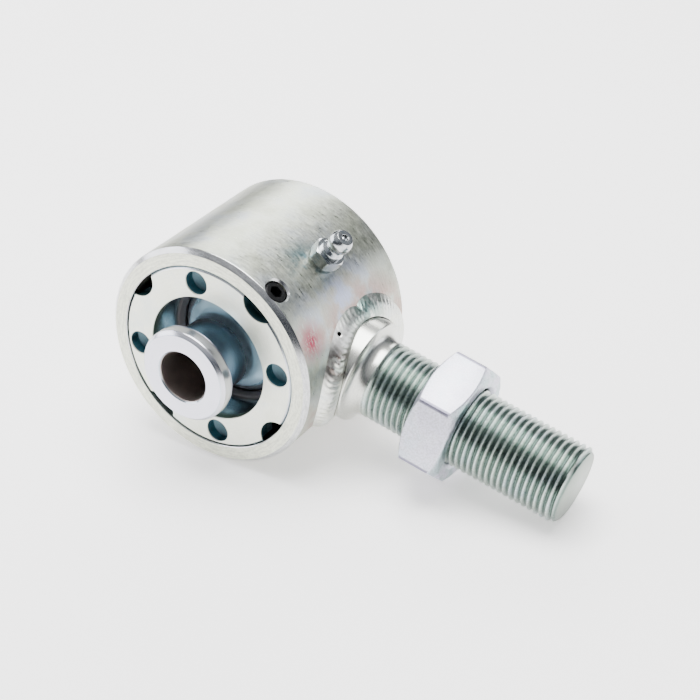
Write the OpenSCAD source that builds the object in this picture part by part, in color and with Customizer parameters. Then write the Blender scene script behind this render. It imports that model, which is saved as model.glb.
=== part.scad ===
// Rebuildable flex-joint rod end for a suspension link.
// Origin at the ball centre, +X along the threaded stud, Y along the ball's
// bolt hole with the adjuster ring facing -Y, +Z up.

/* [Housing] */
// Outside diameter of the housing tube
housing_d = 63.5; // [62:0.5:70]
// Front face, counted from the ball centre
front_reach = 27.3; // [27:0.1:29]
// Rear face, counted from the ball centre
rear_reach = 21.6; // [21.4:0.1:24]
// Chamfer on both outer rims
rim_chamfer = 1.3; // [0.5:0.1:1.8]
// Diameter of the bore that holds the races
race_bore_d = 49; // [48.6:0.1:49.4]

/* [Ball] */
// Diameter of the ball
ball_d = 43.2; // [42.4:0.1:43.4]
// Width over the two collars
ball_w = 76.4; // [74:0.2:80]
// Diameter of the bolt hole, for a 9/16 in bolt
bolt_hole_d = 14.34; // [14.3:0.02:14.6]
// Diameter of the necks beside the ball
neck_d = 20; // [18:0.1:20]
// Diameter of the two end collars
collar_d = 26.3; // [24:0.1:27]

/* [Adjuster ring] */
// Major diameter of the adjuster thread
adjuster_d = 53.4; // [52.6:0.1:54]
// Pitch of the adjuster thread, 16 to the inch
adjuster_pitch = 1.5875; // [1.5:0.0125:1.6]
// Thickness of the ring
adjuster_w = 11; // [10.8:0.1:11]
// Diameter of the opening round the neck
opening_d = 35.9; // [35.4:0.1:37]
// Diameter of the four spanner holes
spanner_d = 6.7; // [5:0.1:7]
// Turn of the ring about the bore, where the set screw meets a notch
ring_turn = 18.5; // [18.5:90:288.5]

/* [Stud] */
// Thread major diameter, 7/8-14
stud_d = 22.1; // [21.9:0.05:22.2]
// Thread pitch, 14 to the inch
stud_pitch = 1.8143; // [1.5:0.01:2]
// Distance from the ball centre to the stud's end
stud_reach = 98.1; // [90:0.5:115]
// Diameter of the stud's boss beside the housing
boss_d = 29.4; // [27:0.1:31]
// Distance from the ball centre to the boss's edge
boss_reach = 34.7; // [34.5:0.1:36]

/* [Jam nut] */
// Width across flats
nut_af = 31.75; // [31:0.05:33.3]
// Thickness
nut_w = 12.3; // [9:0.1:14]
// Rear face of the nut, counted from the ball centre
nut_at = 54; // [53:0.5:60]

/* [Hidden] */
$fn = 96;

housing_r = housing_d / 2;
race_bore_r = race_bore_d / 2;
ball_r = ball_d / 2;
neck_r = neck_d / 2;
half_w = ball_w / 2;

run_gap = 0.08;            // radial clearance between moving round surfaces
face_gap = 0.1;            // end clearance between moving flat faces
seat_r = ball_r + run_gap;
relief_r = 16.4;           // opening in each race, clear of the tilted neck
neck_fillet = 3.2;         // where the neck leaves the ball
flare = 2.6;               // where the neck widens into its collar
flare_at = 31.4;
collar_edge = 0.9;         // chamfer round the collar's end face
fillet_at = sqrt(pow(ball_r + neck_fillet, 2) - pow(neck_r + neck_fillet, 2));

ring_inner = front_reach - adjuster_w;
adjuster_r = adjuster_d / 2;
adjuster_depth = thread_depth(adjuster_pitch);
face_chamfer = 0.7;        // chamfer on the ring's front face
land_end = 1.5;            // plain land behind the chamfer, before the first ridge
ridge_count = floor((adjuster_w - land_end - 0.3) / adjuster_pitch);

lip_w = 1.6;               // wall left outside the snap ring's groove
snap_w = 1.6;
washer_w = 2;
groove_outer = rear_reach - lip_w;
groove_inner = groove_outer - snap_w;
washer_inner = groove_inner - washer_w;
groove_r = race_bore_r + 1.5;
snap_gap = 15;             // half the opening of the snap ring, in degrees

stud_r = stud_d / 2;
boss_r = boss_d / 2;
thread_start = boss_reach + (boss_r - stud_r) + 0.9;
stud_chamfer = 0.8;
stud_ridges = floor((stud_reach - stud_chamfer - thread_start) / stud_pitch);
cope_gap = 0.02;           // keeps touching welded faces from overlapping

screw_at = -22.6;          // set screw, along the bore
screw_angle = 63.5;        // and round it, from +X towards +Z
screw_r = 3.1;
screw_hole_r = 3.2;
screw_sink = 0.62;         // depth of its countersink
screw_tip = 24.2;          // reach of its tip, from the bore's axis
screw_top = housing_r - 0.7;
screw_pitch = 1.27;
screw_turns = 4;
socket_af = 3.175;
socket_depth = 2.6;
spanner_at = 22.3;         // circle the spanner holes lie on
spanner_depth = 3;
spanner_cone = 1.5;        // drill point at the bottom of each
notch_r = 5.2;
notch_at = 28.2;           // centre of each notch, outside the ring

grease_at = -2.3;          // grease fitting, along the bore
grease_angle = 62.5;
shank_r = 3.1;
shank_len = 5.6;
shank_pitch = 0.907;       // 28 threads to the inch
fitting_seat_r = 3.75;     // heights from here on are above the housing wall
fitting_af = 7.94;
fitting_hex = [0.5, 4.2];  // bottom and top of the hexagon
fitting_shoulder_r = 3.2;
fitting_neck_r = 2.4;
fitting_head_r = 3.25;
fitting_head_h = 8.6;      // middle of the round head
fitting_top_r = 2.35;
fitting_top = 11;
valve_r = 1.3;             // check ball
valve_lip = 1.0;
valve_h = 9.75;            // top of the check ball's straight chamber
valve_floor = 3.2;         // seat of the spring under the check ball
spring_wire = 0.3;
spring_turns = 6;
spring_len = 5.5;

bead_root = boss_r + cope_gap;
bead_toe = [17.6, 3.4];    // outer edge above and below the stud, and what its sides add
bead_rise = [1.5, 0.9];    // height up the boss, the same way
bead_bulge = 1.05;
bead_swell = [0.5, 0.87];  // direction the bead bulges in: outwards, along the stud

// A 60 degree thread's height for a pitch
function thread_depth(pitch) = 0.5413 * pitch;

// Ridge outline along a thread: root, crest, crest, root for each turn
function ridges(count, pitch, start, root) =
    let (deep = thread_depth(pitch), flank = deep * tan(30), crest = pitch / 8)
    [for (i = [0:count - 1], k = [0:3])
        [root + (k == 1 || k == 2 ? deep : 0),
            start + i * pitch + (k == 0 ? 0 : flank)
                + (k > 1 ? crest : 0) + (k == 3 ? flank : 0)]];

// Points on an arc, for outlines
function arc(cx, cy, r, from, to, steps) =
    [for (i = [0:steps]) let (a = from + (to - from) * i / steps)
        [cx + r * cos(a), cy + r * sin(a)]];

// Outlines are drawn as [radius, distance] and turned onto their axis
module about_y() rotate([-90, 0, 0]) rotate_extrude() children();
module about_x() rotate([0, 90, 0]) rotate_extrude() children();

// Places a piece that stands on the housing wall, its own +Z pointing outwards
module on_wall(along, angle) translate([0, along, 0]) rotate([0, 90 - angle, 0]) children();

module housing() color("silver") difference() {
    about_y() polygon(concat(
        [[housing_r - rim_chamfer, -front_reach],
            [housing_r, rim_chamfer - front_reach],
            [housing_r, rear_reach - rim_chamfer],
            [housing_r - rim_chamfer, rear_reach],
            [race_bore_r + 0.6, rear_reach],
            [race_bore_r, rear_reach - 0.6],
            [race_bore_r, groove_outer],
            [groove_r, groove_outer],
            [groove_r, groove_inner],
            [race_bore_r, groove_inner],
            [race_bore_r, -ring_inner],
            [adjuster_r - adjuster_depth + run_gap, -ring_inner]],
        [for (i = [len(ring_ridges) - 1:-1:0]) ring_ridges[i] + [run_gap, 0]],
        [[adjuster_r + run_gap, land_end - front_reach],
            [adjuster_r + run_gap, 0.2 - front_reach],
            [adjuster_r + run_gap + 0.2, -front_reach]]));
    on_wall(screw_at, screw_angle) {
        translate([0, 0, race_bore_r - 1]) cylinder(r = screw_hole_r, h = 12);
        translate([0, 0, housing_r - screw_sink])
            cylinder(r1 = screw_hole_r, r2 = screw_hole_r + 1, h = 1);
    }
    on_wall(grease_at, grease_angle)
        translate([0, 0, race_bore_r - 1]) cylinder(r = shank_r + run_gap, h = 12);
}

ring_ridges = ridges(ridge_count, adjuster_pitch, land_end + 0.15 - front_reach,
    adjuster_r - adjuster_depth);

module threaded_stud() color("lightgray") difference() {
    about_x() polygon(concat(
        [[0, 22], [boss_r, 22], [boss_r, boss_reach - 0.3], [boss_r - 0.3, boss_reach]],
        arc(boss_r, boss_reach + boss_r - stud_r, boss_r - stud_r - 0.05, 265, 180, 10),
        ridges(stud_ridges, stud_pitch, thread_start, stud_r - thread_depth(stud_pitch)),
        [[stud_r - thread_depth(stud_pitch), stud_reach - stud_chamfer / 2],
            [stud_r - 1.4, stud_reach], [0, stud_reach]]));
    rotate([90, 0, 0]) cylinder(r = housing_r + cope_gap, h = 80, center = true, $fn = 180);
}

// One station of the weld: along the housing, then back over the bead to the boss
function wall_x(rho, t) = sqrt(pow(housing_r + cope_gap, 2) - pow(rho * sin(t), 2));
function bead_station(t) =
    let (lean = abs(cos(t)), toe_r = bead_toe[0] + bead_toe[1] * sqrt(lean),
        toe = [toe_r, wall_x(toe_r, t)],
        top = [bead_root, wall_x(bead_root, t) + bead_rise[0] + bead_rise[1] * lean])
    concat(
        [for (i = [0:4]) let (rho = bead_root + (toe_r - bead_root) * i / 4)
            [rho, wall_x(rho, t)]],
        [for (i = [1:8]) let (s = i / 8, p = toe + (top - toe) * s)
            p + bead_bulge * sin(180 * s) * bead_swell]);

module weld_bead() color("gainsboro") {
    stations = 90;
    across = 13;
    points = [for (i = [0:stations - 1]) let (t = 360 * i / stations)
        for (p = bead_station(t)) [p[1], p[0] * cos(t), p[0] * sin(t)]];
    faces = [for (i = [0:stations - 1], k = [0:across - 1])
        let (a = i * across, b = ((i + 1) % stations) * across, n = (k + 1) % across)
        each [[a + k, a + n, b + n], [a + k, b + n, b + k]]];
    polyhedron(points, faces);
}

module adjuster_ring() color("beige") difference() {
    about_y() polygon(concat(
        [[opening_d / 2 + 0.3, -front_reach], [adjuster_r - face_chamfer, -front_reach],
            [adjuster_r, face_chamfer - front_reach], [adjuster_r, land_end - 0.5 - front_reach],
            [adjuster_r - adjuster_depth, land_end - front_reach]],
        ring_ridges,
        [[adjuster_r - adjuster_depth, -ring_inner - face_gap],
            [opening_d / 2, -ring_inner - face_gap],
            [opening_d / 2, 0.3 - front_reach]]));
    for (turn = [0:90:270]) rotate([0, -ring_turn - turn, 0]) {
        translate([spanner_at, spanner_depth - front_reach, 0]) rotate([90, 0, 0])
            cylinder(r = spanner_d / 2, h = spanner_depth + 1);
        translate([spanner_at, spanner_depth + spanner_cone - front_reach, 0]) rotate([90, 0, 0])
            cylinder(r1 = 0.2, r2 = spanner_d / 2, h = spanner_cone);
    }
    for (turn = [45:90:315]) rotate([0, -ring_turn - turn, 0])
        translate([notch_at, 0, 0]) rotate([90, 0, 0]) cylinder(r = notch_r, h = 40);
}

module set_screw() color("dimgray") on_wall(screw_at, screw_angle) difference() {
    rotate_extrude() polygon(concat(
        [[0, screw_tip + 0.4], [1.1, screw_tip + 0.4], [1.7, screw_tip]],
        ridges(screw_turns, screw_pitch, screw_tip + 0.9, screw_r - thread_depth(screw_pitch)),
        [[screw_r - thread_depth(screw_pitch), screw_top], [0, screw_top]]));
    translate([0, 0, screw_top - socket_depth])
        cylinder(r = socket_af / sqrt(3), h = socket_depth + 1, $fn = 6);
}

// One acetal race, from the joint's middle out to its face
module race(face) {
    inside = sqrt(pow(seat_r, 2) - pow(relief_r, 2)) - 1;
    difference() {
        about_y() polygon([[relief_r - 2, 1.2], [race_bore_r - run_gap - 0.6, 1.2],
            [race_bore_r - run_gap, 1.8], [race_bore_r - run_gap, face - 0.8],
            [race_bore_r - run_gap - 0.8, face], [relief_r + 1, face],
            [relief_r, face - 1.5], [relief_r, inside], [relief_r - 2, inside]]);
        rotate([90, 0, 0]) sphere(r = seat_r);
        about_y() polygon([[18, 7.4], [seat_r - 0.4, 7.4], [seat_r - 0.4, 9], [18, 9]]);
    }
}
module front_race() color("black") mirror([0, 1, 0]) race(ring_inner);
module rear_race() color("black") race(washer_inner - face_gap);

module rear_washer() color("silver") about_y() polygon([[17.2, washer_inner],
    [race_bore_r - 0.15, washer_inner], [race_bore_r - 0.15, groove_inner - 0.02],
    [17.2, groove_inner - 0.02]]);

module snap_ring() color("dimgray") translate([0, groove_outer - 0.02, 0]) rotate([90, 0, 0])
    linear_extrude(snap_w - 0.04) difference() {
        union() {
            difference() {
                circle(r = groove_r - 0.1);
                translate([0, -0.7]) circle(r = groove_r - 3.9);
                polygon([[0, 0], 40 * [sin(snap_gap), -cos(snap_gap)],
                    40 * [-sin(snap_gap), -cos(snap_gap)]]);
            }
            for (side = [-1, 1]) rotate(side * (snap_gap + 7))
                translate([0, -21.6]) circle(r = 2.7);
        }
        for (side = [-1, 1]) rotate(side * (snap_gap + 7)) translate([0, -21.6]) circle(r = 1.2);
    }

// Neck and collar outline of one side, from the ball out to the end face
function spool_side() = concat(
    [[0, fillet_at], [neck_r, fillet_at]],
    arc(neck_r + flare, flare_at, flare, 180, 105, 6),
    arc(collar_d / 2 - 0.7, flare_at + flare + 0.75, 0.7, -60, 0, 4),
    [[collar_d / 2, half_w - collar_edge - 0.2], [collar_d / 2 - collar_edge, half_w],
        [0, half_w]]);

// Fillet from the ball into the neck, tangent to both
function fillet_side() =
    let (lean = atan2(fillet_at, neck_r + neck_fillet),
        inside = 0.985 * ball_r * [cos(lean), sin(lean)])
    concat([[0, inside[1] - 1], inside],
        arc(neck_r + neck_fillet, fillet_at, neck_fillet, 174 + lean, 180, 6),
        [[neck_r, fillet_at + 1], [0, fillet_at + 1]]);

module ball() color("slategray") difference() {
    union() {
        rotate([90, 0, 0]) sphere(r = ball_r);
        for (side = [0, 1]) mirror([0, side, 0]) {
            about_y() polygon(spool_side());
            about_y() polygon(fillet_side());
        }
    }
    rotate([90, 0, 0]) cylinder(r = bolt_hole_d / 2, h = ball_w + 2, center = true);
    for (side = [0, 1]) mirror([0, side, 0]) translate([0, half_w - 0.5, 0])
        rotate([-90, 0, 0]) cylinder(r1 = bolt_hole_d / 2, r2 = bolt_hole_d / 2 + 1, h = 1);
}

module jam_nut() color("lightsteelblue") difference() {
    corner_r = nut_af / sqrt(3);
    rim_r = nut_af / 2 * 0.965;
    drop = (corner_r + 1 - rim_r) * tan(30);
    intersection() {
        translate([nut_at, 0, 0]) rotate([0, 90, 0]) rotate([0, 0, 78.5 + 90])
            cylinder(r = corner_r, h = nut_w, $fn = 6);
        about_x() polygon([[0, nut_at], [rim_r, nut_at], [corner_r + 1, nut_at + drop],
            [corner_r + 1, nut_at + nut_w - drop], [rim_r, nut_at + nut_w],
            [0, nut_at + nut_w]]);
    }
    translate([nut_at - 1, 0, 0]) rotate([0, 90, 0])
        cylinder(r = stud_r + run_gap, h = nut_w + 2);
    for (end = [0, 1]) translate([nut_at + end * nut_w, 0, 0]) rotate([0, 90 - 180 * end, 0])
        translate([0, 0, -0.01]) cylinder(r1 = stud_r + 0.9, r2 = stud_r, h = 0.9);
}

module grease_fitting() color("lightgray") on_wall(grease_at, grease_angle)
    translate([0, 0, housing_r]) difference() {
        shank_root = shank_r - thread_depth(shank_pitch);
        union() {
            rotate_extrude() polygon(concat(
                [[0, -shank_len], [shank_root - 0.1, -shank_len]],
                ridges(4, shank_pitch, 0.3 - shank_len, shank_root),
                [[shank_root, 0.02], [fitting_seat_r, 0.02], [fitting_seat_r, 1], [0, 1]]));
            intersection() {
                translate([0, 0, fitting_hex[0]])
                    cylinder(r = fitting_af / sqrt(3), h = fitting_hex[1] - fitting_hex[0], $fn = 6);
                rotate_extrude() polygon([[0, fitting_hex[0]], [4, fitting_hex[0]],
                    [4.7, fitting_hex[0] + 0.4], [4.7, fitting_hex[1] - 0.4],
                    [4, fitting_hex[1]], [0, fitting_hex[1]]]);
            }
            rotate_extrude() polygon(concat([[0, fitting_hex[1] - 0.2],
                [fitting_shoulder_r, fitting_hex[1] - 0.2], [fitting_shoulder_r, 5.3],
                [fitting_neck_r, 6.2], [fitting_neck_r, 7]],
                arc(0, fitting_head_h, fitting_head_r, -25, 42, 8),
                [[fitting_top_r, fitting_top], [0, fitting_top]]));
        }
        translate([0, 0, -shank_len - 1]) cylinder(r = 0.9, h = 10);
        translate([0, 0, valve_floor - 0.2]) cylinder(r = valve_r + 0.1, h = valve_h - valve_floor + 0.2);
        translate([0, 0, valve_h - 0.01])
            cylinder(r1 = valve_r + 0.1, r2 = valve_lip, h = 0.95);
        translate([0, 0, valve_h + 0.25]) cylinder(r = valve_lip, h = 2);
    }

module check_ball() color("gray") on_wall(grease_at, grease_angle)
    translate([0, 0, housing_r + valve_h - 0.25]) sphere(r = valve_r, $fn = 48);

// Coil spring under the check ball, swept round its helix
module check_spring() color("darkgray") on_wall(grease_at, grease_angle)
    translate([0, 0, housing_r + valve_floor]) {
        steps = 12 * spring_turns;
        sides = 6;
        coil_r = valve_r - spring_wire / 2 - 0.05;
        points = [for (i = [0:steps], k = [0:sides - 1])
            let (t = 360 * i / 12, a = 360 * k / sides, w = spring_wire / 2)
            [(coil_r + w * cos(a)) * cos(t), (coil_r + w * cos(a)) * sin(t),
                (spring_len - spring_wire) * i / steps + w * (1 + sin(a))]];
        walls = [for (i = [0:steps - 1], k = [0:sides - 1])
            let (a = i * sides, b = a + sides, n = (k + 1) % sides)
            each [[a + k, b + k, b + n], [a + k, b + n, a + n]]];
        polyhedron(points, concat(walls,
            [[for (k = [0:sides - 1]) k],
                [for (k = [sides - 1:-1:0]) steps * sides + k]]));
    }

housing();
threaded_stud();
weld_bead();
adjuster_ring();
set_screw();
front_race();
rear_race();
rear_washer();
snap_ring();
ball();
jam_nut();
grease_fitting();
check_ball();
check_spring();
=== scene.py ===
import math
import bpy
import bmesh
from mathutils import Matrix, Vector, noise


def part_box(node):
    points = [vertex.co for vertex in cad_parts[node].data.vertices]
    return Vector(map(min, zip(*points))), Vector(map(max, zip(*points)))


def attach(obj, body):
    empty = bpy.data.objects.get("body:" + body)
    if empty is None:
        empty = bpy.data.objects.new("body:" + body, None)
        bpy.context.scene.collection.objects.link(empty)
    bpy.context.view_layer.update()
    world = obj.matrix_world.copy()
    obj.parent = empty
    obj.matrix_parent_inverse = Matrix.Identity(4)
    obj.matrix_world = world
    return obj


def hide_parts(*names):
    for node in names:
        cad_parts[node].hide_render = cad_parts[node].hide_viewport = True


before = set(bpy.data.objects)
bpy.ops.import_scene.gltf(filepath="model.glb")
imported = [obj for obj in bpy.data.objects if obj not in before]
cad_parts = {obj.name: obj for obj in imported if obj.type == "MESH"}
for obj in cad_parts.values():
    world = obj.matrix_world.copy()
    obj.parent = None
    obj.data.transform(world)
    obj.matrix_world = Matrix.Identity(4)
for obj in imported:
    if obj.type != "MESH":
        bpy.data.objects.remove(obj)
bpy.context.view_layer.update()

mm = 0.001
fullTurn = 2 * math.pi

axisVectors = {"x": Vector((1, 0, 0)), "y": Vector((0, 1, 0)), "z": Vector((0, 0, 1))}


def onAxis(axis, along, radius):
    # a point at a distance along an axis and a radius from it, millimetres in, metres out
    place = {"x": (along, radius, 0), "y": (radius, along, 0), "z": (radius, 0, along)}[axis]
    return Vector(place) * mm


def arc(along, radius, size, start, end, steps):
    # corners along an arc, angles in degrees from the axis direction
    turns = [math.radians(start + (end - start) * i / steps) for i in range(steps + 1)]
    return [(along + size * math.cos(t), radius + size * math.sin(t), 0) for t in turns]


def roundedOutline(corners, steps=4):
    # corners are (along, radius, fillet); a fillet of 0 leaves the corner sharp
    points = []
    for index, (along, radius, fillet) in enumerate(corners):
        here = Vector((along, radius))
        if fillet == 0:
            points.append(here)
            continue
        before = (Vector(corners[index - 1][:2]) - here).normalized()
        after = (Vector(corners[(index + 1) % len(corners)][:2]) - here).normalized()
        half = before.angle(after) / 2
        centre = here + (before + after).normalized() * fillet / math.sin(half)
        first = here + before * fillet / math.tan(half) - centre
        last = here + after * fillet / math.tan(half) - centre
        for step in range(steps + 1):
            spoke = first.lerp(last, step / steps).normalized() * fillet
            points.append(centre + spoke)
    return points


def spin(shape, corners, axis, steps, closed=True):
    # turns an outline round an axis; a closed outline gives a ring
    verts = [shape.verts.new(onAxis(axis, *point)) for point in roundedOutline(corners)]
    pairs = zip(verts, verts[1:] + verts[:1]) if closed else zip(verts, verts[1:])
    edges = [shape.edges.new(pair) for pair in pairs]
    bmesh.ops.spin(shape, geom=verts + edges, cent=(0, 0, 0), axis=axisVectors[axis],
                   angle=fullTurn, steps=steps, use_merge=True)
    bmesh.ops.remove_doubles(shape, verts=shape.verts, dist=0.0005 * mm)


def wallPlace(hole):
    # stands a piece in a hole of the housing's wall, its own z axis pointing outwards
    turn = Matrix.Rotation(math.radians(90 - hole["angle"]), 4, "Y")
    return Matrix.Translation((0, hole["along"] * mm, 0)) @ turn


def finishShape(name, shape, sharpAngle=32):
    # makes the object from a shape, smooth but for its real edges
    bmesh.ops.recalc_face_normals(shape, faces=shape.faces)
    mesh = bpy.data.meshes.new(name)
    shape.to_mesh(mesh)
    shape.free()
    mesh.polygons.foreach_set("use_smooth", [True] * len(mesh.polygons))
    mesh.set_sharp_from_angle(angle=math.radians(sharpAngle))
    piece = bpy.data.objects.new(name, mesh)
    bpy.context.scene.collection.objects.link(piece)
    return piece


def fitPiece(piece, body, node, material):
    piece.data.materials.clear()
    piece.data.materials.append(material)
    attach(piece, body)
    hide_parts(node)


def combine(piece, others, operation, sharpAngle=32):
    # cuts other shapes out of a piece, or joins them to it, and keeps the plain mesh
    for other in others:
        step = piece.modifiers.new("combine", "BOOLEAN")
        step.operation = operation
        step.solver = "EXACT"
        step.object = other
    graph = bpy.context.evaluated_depsgraph_get()
    result = bpy.data.meshes.new_from_object(piece.evaluated_get(graph))
    piece.modifiers.clear()
    piece.data = result
    for other in others:
        bpy.data.objects.remove(other)
    result.polygons.foreach_set("use_smooth", [True] * len(result.polygons))
    result.set_sharp_from_angle(angle=math.radians(sharpAngle))


def spunSolid(name, corners, axis, steps, place=None, closed=False):
    # an outline that starts and ends on the axis gives a solid; a closed one gives a ring
    shape = bmesh.new()
    spin(shape, corners, axis, steps, closed)
    if place:
        bmesh.ops.transform(shape, matrix=place, verts=shape.verts)
    return finishShape(name, shape)


def hexPrism(flats, low, high, turn, place):
    # a hexagonal bar along its own z axis, with a flat facing the angle turn
    shape = bmesh.new()
    corner = flats / 2 / math.cos(math.radians(30)) * mm
    middle = Matrix.Translation((0, 0, (low + high) / 2 * mm))
    bmesh.ops.create_cone(shape, cap_ends=True, segments=6, radius1=corner, radius2=corner,
                          depth=(high - low) * mm,
                          matrix=place @ middle @ Matrix.Rotation(math.radians(turn), 4, "Z"))
    return finishShape("hexPrism", shape)


def hexColour(code):
    # sRGB hex to the linear colour that nodes use
    parts = [int(code[i:i + 2], 16) / 255 for i in (1, 3, 5)]
    linear = [p / 12.92 if p <= 0.04045 else ((p + 0.055) / 1.055) ** 2.4 for p in parts]
    return (*linear, 1)


def addNode(tree, kind, settings=None, links=None):
    # a setting or link names one of the node's sockets or properties; stops fill a colour ramp
    node = tree.nodes.new(kind)
    for key, value in (settings or {}).items():
        if key == "stops":
            elements = node.color_ramp.elements
            while len(elements) < len(value):
                elements.new(0.5)
            for element, (place, colour) in zip(elements, value):
                element.position = place
                element.color = colour
        elif isinstance(key, int) or key in node.inputs:
            node.inputs[key].default_value = value
        else:
            setattr(node, key, value)
    for key, output in (links or {}).items():
        tree.links.new(output, node.inputs[key])
    return node


def newMaterial(name):
    material = bpy.data.materials.new(name)
    material.use_nodes = True
    tree = material.node_tree
    tree.nodes.clear()
    shader = addNode(tree, "ShaderNodeBsdfPrincipled")
    addNode(tree, "ShaderNodeOutputMaterial", {}, {"Surface": shader.outputs["BSDF"]})
    return material, tree, shader


def measure(tree, axis):
    # object space measures for an axis: how far along it, how far from it, how far round, and facing
    coords = addNode(tree, "ShaderNodeTexCoord").outputs
    split = addNode(tree, "ShaderNodeSeparateXYZ", {}, {0: coords["Object"]}).outputs
    facing = addNode(tree, "ShaderNodeSeparateXYZ", {}, {0: coords["Normal"]}).outputs[axis.upper()]
    across, up = {"y": ("X", "Z"), "x": ("Y", "Z")}[axis]
    flat = addNode(tree, "ShaderNodeCombineXYZ", {}, {0: split[across], 1: split[up]}).outputs[0]
    radius = addNode(tree, "ShaderNodeVectorMath", {"operation": "LENGTH"}, {0: flat}).outputs["Value"]
    angle = addNode(tree, "ShaderNodeMath", {"operation": "ARCTAN2"}, {0: split[across], 1: split[up]})
    face = addNode(tree, "ShaderNodeMath", {"operation": "ABSOLUTE"}, {0: facing}).outputs[0]
    return {"coords": coords["Object"], "along": split[axis.upper()], "radius": radius,
            "angle": angle.outputs[0], "face": face, "facing": facing}


def layerMask(tree, space, layer):
    # each measure fades in from its first value to its second, and the mask needs all of them
    parts = []
    for name, (start, end) in layer.get("where", {}).items():
        unit = mm if name in ("along", "radius") else 1
        parts.append((space[name], start * unit, end * unit))
    if "spot" in layer:
        place, full, none = layer["spot"]
        away = addNode(tree, "ShaderNodeVectorMath", {"operation": "DISTANCE", 1: Vector(place) * mm},
                       {0: space["coords"]}).outputs["Value"]
        parts.append((away, none * mm, full * mm))
    mask = None
    for value, start, end in parts:
        part = addNode(tree, "ShaderNodeMapRange", {"From Min": start, "From Max": end}, {"Value": value})
        if mask is None:
            mask = part
        else:
            mask = addNode(tree, "ShaderNodeMath", {"operation": "MULTIPLY"},
                           {0: mask.outputs[0], 1: part.outputs[0]})
    return mask.outputs[0]


def finishShader(tree, shader, metallic, colour, rough, bump, height):
    # the last links that every finish has; bump height is in hundredths of a millimetre
    normal = addNode(tree, "ShaderNodeBump", {"Strength": bump, "Distance": 0.02 * mm}, {"Height": height})
    shader.inputs["Metallic"].default_value = metallic
    for socket, output in (("Base Color", colour), ("Roughness", rough), ("Normal", normal.outputs[0])):
        tree.links.new(output, shader.inputs[socket])


def platedSteel(name, look, layers=()):
    # Zinc plate over machined steel: soft silver with faint green, blue and pink bloom. Tool marks
    # are finer on the real part; markWidth is as coarse as they need to be to show.
    material, tree, shader = newMaterial(name)
    space = measure(tree, look["axis"])
    space["bloom"] = addNode(tree, "ShaderNodeTexNoise", {
        "Scale": 1 / (look["bloomSize"] * mm), "Detail": 4, "Roughness": 0.6},
        {"Vector": space["coords"]}).outputs["Fac"]
    tints = [hexColour(code) for code in look["tints"]]
    colour = addNode(tree, "ShaderNodeValToRGB", {"stops": list(zip([0.36, 0.5, 0.64], tints))},
                     {"Fac": space["bloom"]}).outputs["Color"]
    # tool marks run round the axis: on a side they vary along it, on a face with the radius
    sideways = addNode(tree, "ShaderNodeMapRange", {"From Min": 0.88, "From Max": 0.94},
                       {"Value": space["face"]}).outputs[0]
    vary = addNode(tree, "ShaderNodeMix", {"data_type": "FLOAT"},
                   {0: sideways, 2: space["along"], 3: space["radius"]}).outputs[0]
    thin = addNode(tree, "ShaderNodeMath", {"operation": "MULTIPLY", 1: 1 / (look["markWidth"] * mm)},
                   {0: vary})
    reach = addNode(tree, "ShaderNodeMath", {"operation": "MULTIPLY", 1: look["markCount"] / fullTurn},
                    {0: space["angle"]})
    marks = addNode(tree, "ShaderNodeCombineXYZ", {}, {0: thin.outputs[0], 1: reach.outputs[0]})
    grain = addNode(tree, "ShaderNodeTexNoise", {"Scale": 1, "Detail": 3, "Roughness": 0.6},
                    {"Vector": marks.outputs[0]}).outputs["Fac"]
    speck = addNode(tree, "ShaderNodeTexNoise", {"Scale": 1 / (look["speckSize"] * mm), "Detail": 2},
                    {"Vector": space["coords"]}).outputs["Fac"]
    space["mixed"] = addNode(tree, "ShaderNodeMix", {"data_type": "FLOAT", 0: look["speckShare"]},
                             {2: grain, 3: speck}).outputs[0]
    shade = addNode(tree, "ShaderNodeValToRGB", {
        "stops": [(0.4, (look["dark"],) * 3 + (1,)), (0.6, (1, 1, 1, 1))]},
        {"Fac": space["mixed"]}).outputs["Color"]
    low, high = look["roughness"]
    rough = addNode(tree, "ShaderNodeMapRange", {"From Min": 0.34, "From Max": 0.66, "To Min": low,
                    "To Max": high}, {"Value": space["mixed"]}).outputs[0]
    for layer in layers:
        mask = layerMask(tree, space, layer)
        colour = addNode(tree, "ShaderNodeMix", {"data_type": "RGBA", 7: hexColour(layer["colour"])},
                         {0: mask, 6: colour}).outputs[2]
        if "roughness" in layer:
            rough = addNode(tree, "ShaderNodeMix", {"data_type": "FLOAT", 3: layer["roughness"]},
                            {0: mask, 2: rough}).outputs[0]
    colour = addNode(tree, "ShaderNodeMix", {"data_type": "RGBA", "blend_type": "MULTIPLY", 0: 1.0},
                     {6: colour, 7: shade}).outputs[2]
    finishShader(tree, shader, 1, colour, rough, look["bump"], space["mixed"])
    return material


def darkFinish(name, look):
    # black oxide, phosphate or acetal: nearly black with a fine uneven sheen
    material, tree, shader = newMaterial(name)
    coords = addNode(tree, "ShaderNodeTexCoord").outputs["Object"]
    cloud = addNode(tree, "ShaderNodeTexNoise", {"Scale": 1 / (look["grain"] * mm), "Detail": 3},
                    {"Vector": coords}).outputs["Fac"]
    tints = [hexColour(code) for code in look["tints"]]
    colour = addNode(tree, "ShaderNodeValToRGB", {"stops": list(zip([0.35, 0.65], tints))},
                     {"Fac": cloud}).outputs["Color"]
    low, high = look["roughness"]
    rough = addNode(tree, "ShaderNodeMapRange", {"From Min": 0.3, "From Max": 0.7, "To Min": low,
                    "To Max": high}, {"Value": cloud}).outputs[0]
    finishShader(tree, shader, look["metallic"], colour, rough, look["bump"], cloud)
    return material


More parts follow.
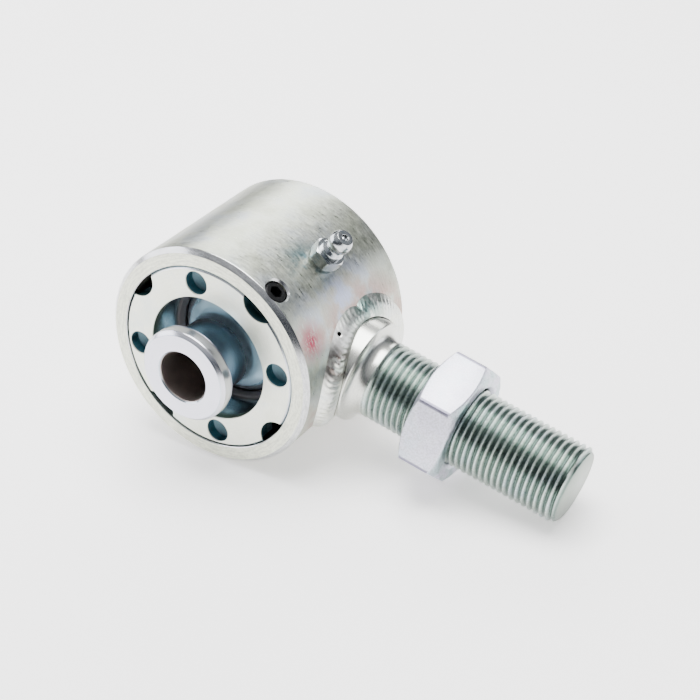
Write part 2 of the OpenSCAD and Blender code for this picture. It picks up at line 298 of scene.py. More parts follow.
housingLow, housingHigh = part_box("housing")
housingSize = {
    "radius": (housingHigh.z - housingLow.z) / 2 / mm,
    "front": housingLow.y / mm,
    "rear": housingHigh.y / mm,
    "rimChamfer": 1.3,
    "raceBore": 24.5,
    "adjusterBore": 26.78,
    "step": -16.3,
    "grooveRadius": 26.0,
    "grooveInner": 18.4,
    "grooveOuter": 20.0,
    "sideRings": 14,
    "steps": 288,
    "screwHole": {"along": -22.6, "angle": 63.5, "radius": 3.2, "mouth": 3.75},
    "greaseHole": {"along": -2.3, "angle": 62.5, "radius": 3.18, "mouth": 3.38},
}


def buildHousing(size):
    radius, front, rear, chamfer = size["radius"], size["front"], size["rear"], size["rimChamfer"]
    bore, groove, adjuster = size["raceBore"], size["grooveRadius"], size["adjusterBore"]
    first, last = front + chamfer, rear - chamfer
    side = [(first + (last - first) * i / size["sideRings"], radius, 0)
            for i in range(1, size["sideRings"])]
    housing = spunSolid("housing_tube", [
        (front, radius - chamfer, 0.25), (first, radius, 0.5), *side, (last, radius, 0.5),
        (rear, radius - chamfer, 0.25), (rear, bore + 0.6, 0.1), (rear - 0.6, bore, 0.1),
        (size["grooveOuter"], bore, 0), (size["grooveOuter"], groove, 0), (size["grooveInner"], groove, 0),
        (size["grooveInner"], bore, 0), (size["step"], bore, 0), (size["step"], adjuster, 0),
        (front + 0.2, adjuster, 0), (front, adjuster + 0.2, 0.05)], "y", size["steps"], closed=True)
    cutters = []
    for hole in (size["screwHole"], size["greaseHole"]):
        inner, outer, mouth = bore - 2, radius + 3, hole["mouth"] + 0.2
        outline = [(inner, 0, 0), (inner, hole["radius"], 0), (radius - 0.65, hole["radius"], 0.1),
                   (radius + 0.2, mouth, 0), (outer, mouth, 0), (outer, 0, 0)]
        cutters.append(spunSolid("cutter", outline, "z", 64, wallPlace(hole)))
    combine(housing, cutters, "DIFFERENCE")
    return housing


# Turned tube, zinc plated: hairline grain round the side, cream faces, bright chamfers,
# and the blue, teal and brown bloom that the plating shows over the weld's heated steel.
housingZinc = platedSteel("turnedZincHousing", {
    "axis": "y", "tints": ["#B4B8A8", "#C2C6BA", "#B8BEBE"], "bloomSize": 11, "markWidth": 0.5,
    "markCount": 60, "speckSize": 0.5, "speckShare": 0.3, "dark": 0.74, "roughness": (0.26, 0.48),
    "bump": 0.7}, [
    {"colour": "#B6BCCE", "spot": ((24, -4, 20), 3, 17), "where": {"bloom": (0.45, 0.56)}},
    {"colour": "#B39A92", "spot": ((29, 0, 0), 20, 27), "where": {"bloom": (0.54, 0.44)}},
    {"colour": "#5F8288", "spot": ((13.5, -8, 28.7), 2, 9), "where": {"bloom": (0.42, 0.52)}},
    {"colour": "#6B909A", "spot": ((27.9, 7.7, 15.1), 1.5, 6), "where": {"bloom": (0.4, 0.5)}},
    {"colour": "#9C4254", "spot": ((26.2, -21.5, 18), 1, 7), "where": {"mixed": (0.36, 0.5)}},
    {"colour": "#C9CACB", "roughness": 0.2, "where": {"face": (0.25, 0.45)}},
    {"colour": "#E6E8D8", "roughness": 0.5, "where": {"face": (0.86, 0.95)}},
])
housing = buildHousing(housingSize)
fitPiece(housing, "housing", "housing", housingZinc)
print("housing made")

ringLow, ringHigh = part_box("adjuster_ring")
ringSize = {
    "front": ringLow.y / mm,
    "back": ringHigh.y / mm,
    "rim": 26.7,
    "chamfer": 0.7,
    "opening": 17.95,
    "turn": 18.5,
    "holeCircle": 22.3,
    "hole": 3.35,
    "holeDepth": 3,
    "holeCone": 1.5,
    "notch": 5.2,
    "notchAt": 28.2,
    "steps": 256,
}


def buildRing(size):
    front, back, rim, opening = size["front"], size["back"], size["rim"], size["opening"]
    ring = spunSolid("adjuster_ring_faced", [
        (front, rim - size["chamfer"], 0), (front + size["chamfer"], rim, 0), (front + 1.5, rim, 0),
        (front + 1.9, rim - 0.6, 0), (back, rim - 0.6, 0), (back, opening, 0), (front + 0.3, opening, 0),
        (front + 0.09, opening + 0.09, 0), (front, opening + 0.3, 0)], "y", size["steps"], closed=True)
    drill = [(front - 0.85, 0, 0), (front - 0.85, size["hole"] + 1, 0), (front + 0.15, size["hole"], 0),
             (front + size["holeDepth"], size["hole"], 0),
             (front + size["holeDepth"] + size["holeCone"], 0, 0)]
    mill = [(front - 1, 0, 0), (front - 1, size["notch"], 0), (back + 1, size["notch"], 0), (back + 1, 0, 0)]
    cutters = []
    for quarter in range(4):
        for outline, reach, extra in ((drill, size["holeCircle"], 0), (mill, size["notchAt"], 45)):
            turn = math.radians(size["turn"] + extra + 90 * quarter)
            place = Matrix.Translation((reach * math.cos(turn) * mm, 0, reach * math.sin(turn) * mm))
            cutters.append(spunSolid("cutter", outline, "y", 80, place))
    combine(ring, cutters, "DIFFERENCE")
    return ring


# Faced ring with a pale cream plated front; the plating is thinner, teal and glossy
# down the opening, darker teal in the spanner holes, and painted shade near-black in the notches.
ringFront = ringSize["front"]
ringZinc = platedSteel("facedZincRing", {
    "axis": "y", "tints": ["#E6E9DA", "#EEF0E4", "#E4E9E2"], "bloomSize": 9, "markWidth": 0.18,
    "markCount": 20, "speckSize": 0.35, "speckShare": 0.4, "dark": 0.9, "roughness": (0.44, 0.56),
    "bump": 0.2}, [
    {"colour": "#D2D3D8", "roughness": 0.22, "where": {
        "radius": (26.02, 26.06), "along": (ringFront + 0.02, ringFront + 0.05)}},
    {"colour": "#8A9A88", "roughness": 0.35, "where": {
        "radius": (26.2, 26), "along": (ringFront + 0.25, ringFront + 0.5)}},
    {"colour": "#B2C4CA", "roughness": 0.16, "where": {
        "radius": (26.2, 26), "along": (ringFront + 1.2, ringFront + 4.5)}},
    {"colour": "#56808C", "roughness": 0.5, "where": {
        "radius": (18.3, 18.6), "along": (ringFront + 0.2, ringFront + 0.6)}},
    {"colour": "#86A2AC", "roughness": 0.7, "where": {
        "radius": (18.3, 18.6), "along": (ringFront + 2.8, ringFront + 3)}},
    # painted shade: near-black on the outer wall inside the housing and the outer notch walls
    {"colour": "#1A2022", "roughness": 0.5, "where": {
        "radius": (25.4, 25.8), "along": (ringFront + 0.4, ringFront + 0.8)}},
    # painted shade: near-black deep in the notches
    {"colour": "#0E1212", "roughness": 0.4, "where": {
        "radius": (18.3, 18.6), "along": (ringFront + 5.2, ringFront + 5.4)}},
])
adjusterRing = buildRing(ringSize)
fitPiece(adjusterRing, "housing", "adjuster_ring", ringZinc)
print("adjuster ring made")

screwSize = {
    "radius": 3.1,
    "core": 2.45,
    "tip": 24.2,             # from the housing's axis
    "top": 31.05,
    "pitch": 1.27,
    "turns": 4,
    "socket": 3.175,         # across flats
    "socketDepth": 2.6,
}


def buildSetScrew(size, hole):
    top, radius, core = size["top"], size["radius"], size["core"]
    ridges = []
    for i in range(size["turns"]):
        start = size["tip"] + 0.9 + i * size["pitch"]
        ridges += [(start, core, 0), (start + 0.45, radius, 0), (start + 0.6, radius, 0),
                   (start + 1.05, core, 0)]
    place = wallPlace(hole)
    screw = spunSolid("lock_set_screw", [
        (size["tip"] + 0.5, 0, 0), (size["tip"] + 0.5, 1.0, 0.1), (size["tip"], 1.6, 0.1), *ridges,
        (top - 0.3, radius - 0.1, 0.1), (top, radius - 0.45, 0), (top, 0, 0)], "z", 48, place)
    combine(screw, [hexPrism(size["socket"], top - size["socketDepth"], top + 1, 30, place)], "DIFFERENCE")
    return screw


# Black oxide on a cut steel screw: a thin dark film that stays satin
blackOxide = darkFinish("blackOxideSteel", {
    "tints": ["#0B0B0C", "#151517"], "grain": 0.4, "roughness": (0.34, 0.5), "bump": 0.2,
    "metallic": 0.6})
setScrew = buildSetScrew(screwSize, housingSize["screwHole"])
fitPiece(setScrew, "housing", "set_screw", blackOxide)
print("set screw made")

ballLow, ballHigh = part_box("ball")
ballSize = {
    "ball": (ballHigh.z - ballLow.z) / 2 / mm,
    "neck": 10.0,
    "collar": 13.15,
    "bore": 7.17,
    "halfWidth": ballHigh.y / mm,
    "neckFillet": 3.2,
    "flare": 2.6,
    "flareAt": 31.4,
    "collarEdge": 0.9,
    "steps": 192,
}


def buildBall(size):
    ball, neck, fillet, flare, end = (size[k] for k in ("ball", "neck", "neckFillet", "flare", "halfWidth"))
    meet = math.sqrt((ball + fillet) ** 2 - (neck + fillet) ** 2)
    touch = math.degrees(math.atan2(neck + fillet, meet))
    half = [*arc(0, 0, ball, 90, touch, 22)[1:],
            *arc(meet, neck + fillet, fillet, touch + 180, 270, 10)[1:],
            *arc(size["flareAt"], neck + flare, flare, 270, 346, 12),
            (size["flareAt"] + flare + 0.02, size["collar"] - 0.2, 0), *arc(
                size["flareAt"] + flare + 0.72, size["collar"] - 0.7, 0.7, 150, 90, 5),
            (end - size["collarEdge"] - 0.1, size["collar"], 0.6),
            (end, size["collar"] - size["collarEdge"], 0.2), (end, size["bore"] + 0.5, 0.1),
            (end - 0.5, size["bore"], 0.1)]
    mirrored = [(-along, radius, round_) for along, radius, round_ in reversed(half)]
    shape = bmesh.new()
    spin(shape, [*mirrored, (0, ball, 0), *half], "y", size["steps"])
    return finishShape("ball_turned", shape, 40)


# Turned ball, blue-grey plated and polished; satin lavender end faces, and a bare
# brown bolt hole where the plating bath hardly reached, with drilling streaks.
ballZinc = platedSteel("turnedZincBall", {
    "axis": "y", "tints": ["#B4C2CC", "#BECAD2", "#B6C0CE"], "bloomSize": 12, "markWidth": 0.25,
    "markCount": 6, "speckSize": 0.35, "speckShare": 0.3, "dark": 0.95, "roughness": (0.14, 0.2),
    "bump": 0.08}, [
    {"colour": "#CDCED6", "roughness": 0.24, "where": {"radius": (12.2, 12.5)}},
    {"colour": "#B4C2CC", "roughness": 0.24, "where": {"radius": (13.2, 13.4)}},
    {"colour": "#DCDCE8", "roughness": 0.42, "where": {"face": (0.9, 0.97), "radius": (13.1, 12.9)}},
    # painted highlight: a lighter, rougher band on the front fillet where the ball meets its neck
    {"colour": "#C6D2DA", "roughness": 0.32, "spot": ((0, -15, 0), 12.4, 14.6)},
    {"colour": "#A29894", "roughness": 0.42, "where": {"radius": (7.5, 7.3)}},
])
ball = buildBall(ballSize)
fitPiece(ball, "ball", "ball", ballZinc)
print("ball made")

raceSize = {"seat": ballSize["ball"] + 0.08, "outer": 24.42, "relief": 16.4, "middle": 1.2, "face": 16.3}


def buildRace(name, side, size):
    seat, face = size["seat"], size["face"]
    mouth = math.degrees(math.acos(size["middle"] / seat))
    end = math.degrees(math.asin(size["relief"] / seat))
    outline = [(size["middle"], size["outer"] - 0.5, 0.2), (size["middle"] + 0.5, size["outer"], 0.2),
               (face - 0.8, size["outer"], 0.2), (face, size["outer"] - 0.8, 0.2),
               (face, size["relief"] + 1, 0.4), (face - 1.5, size["relief"], 0.5),
               *arc(0, 0, seat, end, mouth, 18)]
    shape = bmesh.new()
    spin(shape, [(side * along, radius, round_) for along, radius, round_ in outline], "y", 144)
    return finishShape(name, shape)


# Machined acetal: black, slightly glossy from the cutter
acetal = darkFinish("machinedBlackAcetal", {
    "tints": ["#2A2426", "#352C2E"], "grain": 2, "roughness": (0.3, 0.4), "bump": 0.03,
    "metallic": 0})
for name, side, node in (("front_race_turned", -1, "front_race"), ("rear_race_turned", 1, "rear_race")):
    fitPiece(buildRace(name, side, raceSize), "races", node, acetal)

washerSize = {"front": 16.4, "back": 18.38, "inner": 17.2, "outer": 24.35}


def buildWasher(size):
    shape = bmesh.new()
    spin(shape, [(size["front"], size["inner"], 0.15), (size["back"], size["inner"], 0.35),
                 (size["back"], size["outer"], 0.35), (size["front"], size["outer"], 0.15)], "y", 144)
    return finishShape("rear_washer_stamped", shape)


# Stamped washer, tumbled before plating, so its surface is even and dull
washerZinc = platedSteel("stampedZincWasher", {
    "axis": "y", "tints": ["#B4B8B0", "#BDC0BC", "#B4BABE"], "bloomSize": 8, "markWidth": 0.4,
    "markCount": 60, "speckSize": 0.5, "speckShare": 0.7, "dark": 0.8, "roughness": (0.32, 0.45),
    "bump": 0.3})
fitPiece(buildWasher(washerSize), "housing", "rear_washer", washerZinc)

snapSize = {"front": 18.42, "back": 19.98, "outer": 25.9, "inner": 22.1, "offset": 0.7, "gap": 15,
            "ear": 2.7, "earAt": 21.6, "earTurn": 22, "earHole": 1.2, "edge": 0.15, "steps": 150}


def buildSnapRing(size):
    # an eccentric open ring, thicker opposite its gap, with two eyes for pliers
    edge, front, back, inner, outer = (size[k] for k in ("edge", "front", "back", "inner", "outer"))
    shape = bmesh.new()
    section = [(front, inner + edge), (front, outer - edge), (front + edge, outer), (back - edge, outer),
               (back, outer - edge), (back, inner + edge), (back - edge, inner), (front + edge, inner)]
    start = shape.faces.new([shape.verts.new(onAxis("y", along, radius)) for along, radius in section])
    bmesh.ops.rotate(shape, verts=start.verts, matrix=Matrix.Rotation(math.radians(90 - size["gap"]), 3, "Y"))
    bmesh.ops.spin(shape, geom=start.verts[:] + start.edges[:] + [start], cent=(0, 0, 0), axis=(0, -1, 0),
                   angle=math.radians(360 - 2 * size["gap"]), steps=size["steps"], use_merge=False)
    bore = [v for v in shape.verts if v.co.xz.length < (inner + 2 * edge) * mm]
    bmesh.ops.translate(shape, verts=bore, vec=(0, 0, -size["offset"] * mm))
    ring = finishShape("snap_ring_open", shape)
    eyes, holes = [], []
    for side in (-1, 1):
        turn = math.radians(side * size["earTurn"])
        place = Matrix.Translation(Vector((math.sin(turn), 0, -math.cos(turn))) * size["earAt"] * mm)
        eyes.append(spunSolid("eye", [(front, 0, 0), (front, size["ear"], edge), (back, size["ear"], edge),
                                      (back, 0, 0)], "y", 48, place))
        holes.append(spunSolid("hole", [(front - 1, 0, 0), (front - 1, size["earHole"], 0),
                                        (back + 1, size["earHole"], 0), (back + 1, 0, 0)], "y", 32, place))
    combine(ring, eyes, "UNION")
    combine(ring, holes, "DIFFERENCE")
    return ring


# Phosphated spring steel: charcoal and matt
phosphate = darkFinish("phosphatedSpringSteel", {
    "tints": ["#232326", "#313133"], "grain": 0.25, "roughness": (0.42, 0.6), "bump": 0.25,
    "metallic": 0.8})
snapRing = buildSnapRing(snapSize)
fitPiece(snapRing, "housing", "snap_ring", phosphate)
print("races, washer and snap ring made")

studLow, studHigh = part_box("threaded_stud")
studSize = {
    "boss": 14.7,
    "bossFrom": 25.0,
    "bossEdge": 34.7,
    "crest": 11.05,
    "depth": 1.09,
    "pitch": 1.8143,
    "end": studHigh.x / mm,
    "steps": 160,
}


def buildStud(size):
    crest, pitch, steps = size["crest"], size["pitch"], size["steps"]
    root = crest - size["depth"]
    fillet = size["boss"] - crest
    start = size["bossEdge"] + fillet + 0.15
    end = size["end"]
    # one pitch of the rolled thread: rounded crest, flank, rounded root
    turn = [(0.0, crest), (0.05, crest - 0.015), (0.095, crest - 0.1), (0.41, root + 0.07),
            (0.455, root + 0.012), (0.5, root), (0.545, root + 0.012), (0.59, root + 0.07),
            (0.905, crest - 0.1), (0.95, crest - 0.015)]
    count = math.ceil((end - start) / pitch) + 3
    shape = bmesh.new()
    verts = [shape.verts.new(onAxis("x", start + (i - 2 + part) * pitch, radius))
             for i in range(count) for part, radius in turn]
    edges = [shape.edges.new(pair) for pair in zip(verts, verts[1:])]
    bmesh.ops.spin(shape, geom=verts + edges, cent=(0, 0, 0), axis=(1, 0, 0), dvec=(pitch * mm / steps, 0, 0),
                   angle=fullTurn, steps=steps, use_merge=False)
    bmesh.ops.remove_doubles(shape, verts=shape.verts, dist=0.002 * mm)
    for vert in shape.verts:
        along, radius = vert.co.x / mm, vert.co.yz.length / mm
        runOut = min(max((along - start - 0.1) / (1.3 * pitch), 0), 1)      # the groove deepens from the neck
        wanted = crest - (crest - radius) * runOut
        wanted = min(wanted, root - 0.12 + (end - along) * 1.15)            # chamfered lead at the end
        vert.co.yz = vert.co.yz.normalized() * wanted * mm
    for place, normal in ((start, (-1, 0, 0)), (end, (1, 0, 0))):
        bmesh.ops.bisect_plane(shape, geom=shape.verts[:] + shape.edges[:] + shape.faces[:], dist=0.0001 * mm,
                               plane_co=(place * mm, 0, 0), plane_no=normal, clear_outer=True)
    bmesh.ops.remove_doubles(shape, verts=shape.verts, dist=0.004 * mm)
    tip = [e for e in shape.edges if e.is_boundary and e.verts[0].co.x > (end - 1) * mm]
    bmesh.ops.holes_fill(shape, edges=tip, sides=0)
    boss = bmesh.new()
    spin(boss, [*[(size["bossFrom"], size["boss"] * i / 10, 0) for i in range(11)],
                (size["bossEdge"] - 0.25, size["boss"], 0.12), (size["bossEdge"], size["boss"] - 0.25, 0.1),
                *arc(size["bossEdge"] + fillet, size["boss"], fillet, 184, 270, 12), (start, crest, 0)],
         "x", steps, closed=False)
    for vert in boss.verts:
        if vert.co.x < (size["bossFrom"] + 0.1) * mm:       # the end is cut to lie on the round housing
            vert.co.x = math.sqrt((housingSize["radius"] * mm) ** 2 - vert.co.z ** 2)
    bossMesh = bpy.data.meshes.new("boss")
    boss.to_mesh(bossMesh)
    boss.free()
    shape.from_mesh(bossMesh)
    bpy.data.meshes.remove(bossMesh)
    bmesh.ops.bridge_loops(shape, edges=[e for e in shape.edges if e.is_boundary])
    return finishShape("stud_threaded", shape, 50)


# Rolled thread under zinc plate: pale crests, dark green-grey roots that are painted shade
# in the grooves, and a brighter turned boss.
studZinc = platedSteel("rolledZincThread", {
    "axis": "x", "tints": ["#B4C0B6", "#BEC9C2", "#B7C4C6"], "bloomSize": 7, "markWidth": 0.3,
    "markCount": 60, "speckSize": 0.3, "speckShare": 0.6, "dark": 0.84, "roughness": (0.22, 0.36),
    "bump": 0.3}, [
    # painted shade: the thread's roots darkened to green-grey
    {"colour": "#6C7D76", "where": {"radius": (10.9, 10.2), "along": (38.8, 39.4)}},
    {"colour": "#D2D3CC", "roughness": 0.26, "where": {"along": (39.2, 38.6)}},
    {"colour": "#9BA39B", "roughness": 0.4, "where": {"facing": (0.9, 0.97), "along": (97.8, 98)}},
])
stud = buildStud(studSize)
fitPiece(stud, "housing", "threaded_stud", studZinc)
print("stud made")

beadSize = {
    "wall": housingSize["radius"] + 0.02,
    "root": 14.72,
    "toe": (17.6, 3.4),          # at the top and bottom, and what the sides add
    "rise": (1.5, 0.9),
    "bulge": 1.05,
    "ripple": (0.17, 0.09),       # half way up, and what the -Y side adds
    "ripplePitch": 1.6,
    "around": 720,
    "across": 44,
    "pitTurn": 124.9,
    "pitPart": 0.2,
    "pitSize": 0.5,
}


def wallAt(size, rho, turn):
    # how far out the housing's wall is at a distance from the stud's axis
    return math.sqrt(size["wall"] ** 2 - (rho * math.sin(turn)) ** 2)


def beadEdges(size, turn):
    # where the bead ends on the wall and on the boss, as (distance from the stud's axis, along it)
    lean = abs(math.cos(turn))
    wander = noise.noise(Vector((math.cos(turn), math.sin(turn), 0)) * 3.1)
    toe = size["toe"][0] + size["toe"][1] * math.sqrt(lean) + 0.3 * wander
    rise = size["rise"][0] + size["rise"][1] * lean + 0.15 * wander
    root = size["root"]
    return Vector((toe, wallAt(size, toe, turn))), Vector((root, wallAt(size, root, turn) + rise))


def beadPoint(size, turn, part, lift):
    toe, root = beadEdges(size, turn)
    return toe.lerp(root, part) + Vector((0.5, 0.87)) * lift


def buildBead(size):
    # a ring is spun round the stud, then each point is moved to the fillet weld's surface
    shape = bmesh.new()
    across = size["across"]
    ring = [(10 * math.cos(fullTurn * i / across), 40 + 10 * math.sin(fullTurn * i / across), 0)
            for i in range(across)]
    spin(shape, ring, "x", size["around"])
    under = across // 3
    for vert in shape.verts:
        turn = math.atan2(vert.co.z, vert.co.y)
        spot = math.atan2(vert.co.yz.length / mm - 40, vert.co.x / mm) % fullTurn
        index = round(spot / fullTurn * across) % across
        if index <= under:
            toe, root = beadEdges(size, turn)
            rho = toe[0] * index / under + root[0] * (1 - index / under)
            along = wallAt(size, rho, turn)
        else:
            part = (index - under) / (across - under)
            swell = math.sin(math.pi * part)
            length = turn * 17.5
            wave = length / size["ripplePitch"] + 1.1 * (2 * part - 1) ** 2
            wave += 0.5 * noise.noise(Vector((length * 0.2, part * 2, 1)))
            crest = 0.5 + 0.5 * math.cos(fullTurn * wave)
            crest += 0.7 * noise.noise(Vector((length * 0.3, part * 3, 3)))
            ripple = size["ripple"][0] - size["ripple"][1] * math.cos(turn)
            lift = size["bulge"] * swell + ripple * (crest - 0.5) * swell
            away = math.hypot((turn - math.radians(size["pitTurn"])) * 17.5, (part - size["pitPart"]) * 6.6)
            if away < size["pitSize"]:
                lift -= 0.9 * (1 - (away / size["pitSize"]) ** 2)
            rho, along = beadPoint(size, turn, part, lift)
        vert.co = Vector((along, rho * math.cos(turn), rho * math.sin(turn))) * mm
    return finishShape("weld_bead_rippled", shape, 70)


pitTurn = math.radians(beadSize["pitTurn"])
pitRho, pitAlong = beadPoint(beadSize, pitTurn, beadSize["pitPart"], 0.3)
pitSpot = (pitAlong, pitRho * math.cos(pitTurn), pitRho * math.sin(pitTurn))

# Gas shielded weld metal under plate: bright, soft ripples with a brown scorched stretch
weldZinc = platedSteel("zincWeldMetal", {
    "axis": "x", "tints": ["#DEE0D4", "#E8E9E2", "#DCE0DC"], "bloomSize": 4, "markWidth": 0.6,
    "markCount": 50, "speckSize": 0.6, "speckShare": 0.9, "dark": 0.86, "roughness": (0.28, 0.42),
    "bump": 0.2}, [
    {"colour": "#FAFAF6", "roughness": 0.48, "spot": (pitSpot, 2.5, 5)},
    {"colour": "#6B5E58", "spot": ((31.5, -15, 9.5), 2, 7), "where": {"bloom": (0.42, 0.54)}},
    {"colour": "#7F9A94", "spot": ((28, 2, 18), 1, 12), "where": {"bloom": (0.56, 0.46)}},
    # painted shade: near-black inside the weld pit
    {"colour": "#0C0B0A", "roughness": 0.8, "spot": (pitSpot, 0.55, 0.75)},
])
weldBead = buildBead(beadSize)
fitPiece(weldBead, "housing", "weld_bead", weldZinc)
print("weld bead made")

nutLow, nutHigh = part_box("jam_nut")
nutSize = {
    "rear": nutLow.x / mm,
    "front": nutHigh.x / mm,
    "flats": 31.75,
    "turn": 18.5,
    "rim": 15.32,            # radius where the 30 degree chamfers start
    "bore": 11.13,
    "mouth": 12.3,
    "edge": 0.2,
    "steps": 144,
}


def buildNut(size):
    rear, front, rim, bore, mouth = (size[k] for k in ("rear", "front", "rim", "bore", "mouth"))
    over = size["flats"] / 2 / math.cos(math.radians(30)) + 0.1
    slope = (over - rim) * math.tan(math.radians(30))
    nut = spunSolid("jam_nut_hex", [
        (rear + mouth - bore, bore, 0), (rear, mouth, 0), (rear, rim, 0), (rear + slope, over, 0),
        (front - slope, over, 0), (front, rim, 0), (front, mouth, 0), (front - mouth + bore, bore, 0)],
        "x", size["steps"], closed=True)
    alongX = Matrix.Rotation(math.radians(90), 4, "Y")
    combine(nut, [hexPrism(size["flats"], rear - 1, front + 1, size["turn"], alongX)], "INTERSECT")
    shape = bmesh.new()
    shape.from_mesh(nut.data)
    bpy.data.objects.remove(nut)
    bmesh.ops.remove_doubles(shape, verts=shape.verts, dist=0.005 * mm)
    bmesh.ops.dissolve_limit(shape, angle_limit=math.radians(0.5), verts=shape.verts, edges=shape.edges)
    edges = [e for e in shape.edges if len(e.link_faces) == 2 and e.calc_face_angle() > math.radians(24)]
    bmesh.ops.bevel(shape, geom=edges, offset=size["edge"] * mm, offset_type="OFFSET", affect="EDGES",
                    segments=2, profile=0.5, material=-1)
    return finishShape("jam_nut_hex", shape, 40)


# Forged and barrel plated nut: satin lavender-white with a tumbled skin
nutZinc = platedSteel("satinZincNut", {
    "axis": "x", "tints": ["#D6D5E4", "#E0E0EC", "#D6DCE8"], "bloomSize": 6, "markWidth": 0.5,
    "markCount": 70, "speckSize": 0.5, "speckShare": 0.85, "dark": 0.7, "roughness": (0.36, 0.56),
    "bump": 1.0}, [
    {"colour": "#4A5A5C", "roughness": 0.3, "where": {"radius": (11.6, 11.3)}},
    {"colour": "#8C8A9C", "where": {"radius": (17.9, 18.02), "face": (0.4, 0.2)}},
    {"colour": "#A9BDC2", "roughness": 0.3, "where": {"face": (0.7, 0.9), "bloom": (0.42, 0.56)}},
])
jamNut = buildNut(nutSize)
fitPiece(jamNut, "nut", "jam_nut", nutZinc)
print("jam nut made")

greaseSize = {
    "shank": 3.05,
    "shankEnd": -5.6,        # lengths stand on the housing's wall
    "shoulder": 3.75,
    "neck": 3.2,
    "waist": 2.4,
    "head": 3.25,
    "headAt": 8.6,
    "top": 11,
    "inlet": 1.0,
    "passage": 0.9,
    "chamber": 1.35,
    "hexFlats": 7.94,
    "hexCorner": 4.45,
    "hexBase": 0.5,
    "hexTop": 4.2,
}


def buildFitting(size, hole, wall):
    end, shank, shoulder, neck, waist = (size[k] for k in ("shankEnd", "shank", "shoulder", "neck", "waist"))
    top, inlet, passage, chamber = size["top"], size["inlet"], size["passage"], size["chamber"]
    place = wallPlace(hole) @ Matrix.Translation((0, 0, wall * mm))
    fitting = spunSolid("grease_fitting_turned", [
        (end, passage, 0), (end, shank - 0.45, 0), (end + 0.6, shank, 0), (-0.4, shank, 0),
        (0.02, shoulder - 0.05, 0), (1, shoulder, 0.1), (1, neck, 0), (5.2, neck, 0.35), (6.2, waist, 0.4),
        (7, waist, 0), *arc(size["headAt"], 0, size["head"], 115, 50, 8), (top, 2.3, 0.12),
        (top, inlet, 0.1), (top - 0.3, inlet - 0.05, 0), (9.9, chamber, 0), (4, chamber, 0),
        (4, passage, 0)], "z", 64, place, closed=True)
    low, high, corner = size["hexBase"], size["hexTop"], size["hexCorner"]
    collar = spunSolid("hexCollar", [
        (low, 2, 0), (low, corner - 0.35, 0), (low + 0.35, corner, 0), (high - 0.35, corner, 0),
        (high, corner - 0.4, 0), (high, 2, 0)], "z", 72, place, closed=True)
    combine(collar, [hexPrism(size["hexFlats"], low - 1, high + 1, 30, place)], "INTERSECT")
    combine(fitting, [collar], "UNION", 34)
    return fitting


# Screw-machine fitting, bright plated: smooth enough for crisp reflections
fittingZinc = platedSteel("brightZincFitting", {
    "axis": "y", "tints": ["#B4B8BA", "#C2C5C6", "#B2BBC0"], "bloomSize": 3, "markWidth": 0.2,
    "markCount": 10, "speckSize": 0.3, "speckShare": 0.6, "dark": 0.85, "roughness": (0.12, 0.24),
    "bump": 0.15})
greaseFitting = buildFitting(greaseSize, housingSize["greaseHole"], housingSize["radius"])
fitPiece(greaseFitting, "housing", "grease_fitting", fittingZinc)

# The check ball shares the bright finish; its spring is drawn wire, grey and even
springWire = darkFinish("drawnSpringWire", {
    "tints": ["#6F7072", "#858689"], "grain": 0.2, "roughness": (0.25, 0.35), "bump": 0.1, "metallic": 1})
for node, material in (("check_ball", fittingZinc), ("check_spring", springWire)):
    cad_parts[node].data.materials.clear()
    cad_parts[node].data.materials.append(material)
print("grease fitting made")

stageSize = {
    "lean": 12.33,           # the joint lies on its housing and the stud's tip
    "floor": 12,
}
leanTurn = Matrix.Rotation(math.radians(-stageSize["lean"]), 4, "Y")
floorShape = bmesh.new()
bmesh.ops.create_grid(floorShape, x_segments=2, y_segments=2, size=stageSize["floor"])
bmesh.ops.transform(floorShape, verts=floorShape.verts,
                    matrix=leanTurn @ Matrix.Translation((0, 0, housingLow.z - 0.05 * mm)))
floor = finishShape("stage_floor", floorShape)
floorPaint, floorTree, floorShader = newMaterial("mattWhitePaper")
paperCoords = addNode(floorTree, "ShaderNodeTexCoord").outputs["Object"]
cloud = addNode(floorTree, "ShaderNodeTexNoise", {"Scale": 8, "Detail": 2}, {"Vector": paperCoords})
paper = addNode(floorTree, "ShaderNodeValToRGB", {
    "stops": [(0.3, hexColour("#FAF9F8")), (0.7, hexColour("#FCFBFB"))]}, {"Fac": cloud.outputs["Fac"]})
floorTree.links.new(paper.outputs["Color"], floorShader.inputs["Base Color"])
floorShader.inputs["Roughness"].default_value = 0.9
floorShader.inputs["Emission Color"].default_value = hexColour("#FFFDFB")
floorShader.inputs["Emission Strength"].default_value = 0.8
floor.data.materials.append(floorPaint)

# The room is dark near the horizon and pale overhead, which gives the metal its contrast
world = bpy.data.worlds.new("studio")
bpy.context.scene.world = world
world.use_nodes = True
sky = world.node_tree
direction = addNode(sky, "ShaderNodeTexCoord").outputs["Generated"]
height = addNode(sky, "ShaderNodeVectorMath", {"operation": "DOT_PRODUCT", 1: leanTurn @ Vector((0, 0, 1))},
                 {0: direction}).outputs["Value"]
shades = addNode(sky, "ShaderNodeValToRGB", {"stops": [
    (0.0, hexColour("#6E7278")), (0.35, hexColour("#5C6068")), (0.65, hexColour("#D2D6DC")),
    (1.0, hexColour("#FFFFFF"))]}, {"Fac": height})
sky.links.new(shades.outputs["Color"], sky.nodes["Background"].inputs["Color"])
sky.nodes["Background"].inputs["Strength"].default_value = 0.8

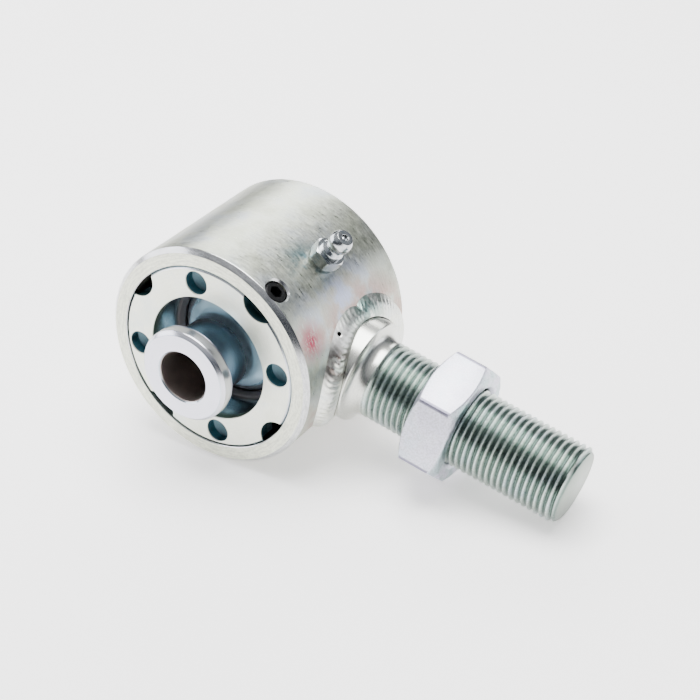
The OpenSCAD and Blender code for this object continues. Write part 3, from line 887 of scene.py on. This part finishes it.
lights = {
    "overhead": {"place": (0.0, 0.05, 0.85), "aim": (0.03, 0, 0), "size": (0.7, 0.7), "power": 20,
                 "colour": "#FFFFFF"},
    "leftWall": {"place": (-0.75, -0.15, 0.3), "aim": (0.0, 0, 0.02), "size": (0.9, 0.5), "power": 8,
                 "colour": "#FAFAFF"},
    "backLeft": {"place": (-0.4, 0.75, 0.5), "aim": (0.03, 0, 0), "size": (0.6, 0.4), "power": 6,
                 "colour": "#FFFFFF"},
    "backRight": {"place": (0.7, 0.6, 0.16), "aim": (0.03, 0, 0), "size": (0.4, 0.25), "power": 1.5,
                  "colour": "#F4F6FF"},
}
for name, setting in lights.items():
    lamp = bpy.data.lights.new(name, "AREA")
    lamp.shape = "RECTANGLE"
    lamp.size, lamp.size_y = setting["size"]
    lamp.energy = setting["power"]
    lamp.color = hexColour(setting["colour"])[:3]
    holder = bpy.data.objects.new(name, lamp)
    holder.location = leanTurn @ Vector(setting["place"])
    aim = Vector(setting["aim"]) - holder.location
    holder.rotation_euler = aim.to_track_quat("-Z", "Y").to_euler()
    bpy.context.scene.collection.objects.link(holder)

cameraSize = {"azimuth": 24.41, "elevation": 37.87, "roll": 13.54, "distance": 475.4,
              "shift": (23.26, -9.91), "lens": 88.77}
azimuth, elevation = math.radians(cameraSize["azimuth"]), math.radians(cameraSize["elevation"])
back = Vector((math.sin(azimuth) * math.cos(elevation), -math.cos(azimuth) * math.cos(elevation),
               math.sin(elevation)))
level = Vector((0, 0, 1)).cross(back).normalized()
right = Matrix.Rotation(math.radians(cameraSize["roll"]), 3, back) @ level
up = back.cross(right)
camera = bpy.data.objects.new("camera", bpy.data.cameras.new("camera"))
camera.data.lens = cameraSize["lens"]
camera.data.sensor_width = 36
camera.data.clip_start = 0.01
spot = right * cameraSize["shift"][0] + up * cameraSize["shift"][1] + back * cameraSize["distance"]
camera.matrix_world = Matrix.Translation(spot * mm) @ Matrix((right, up, back)).transposed().to_4x4()
bpy.context.scene.collection.objects.link(camera)
bpy.context.scene.camera = camera
print("floor, lights and camera set")
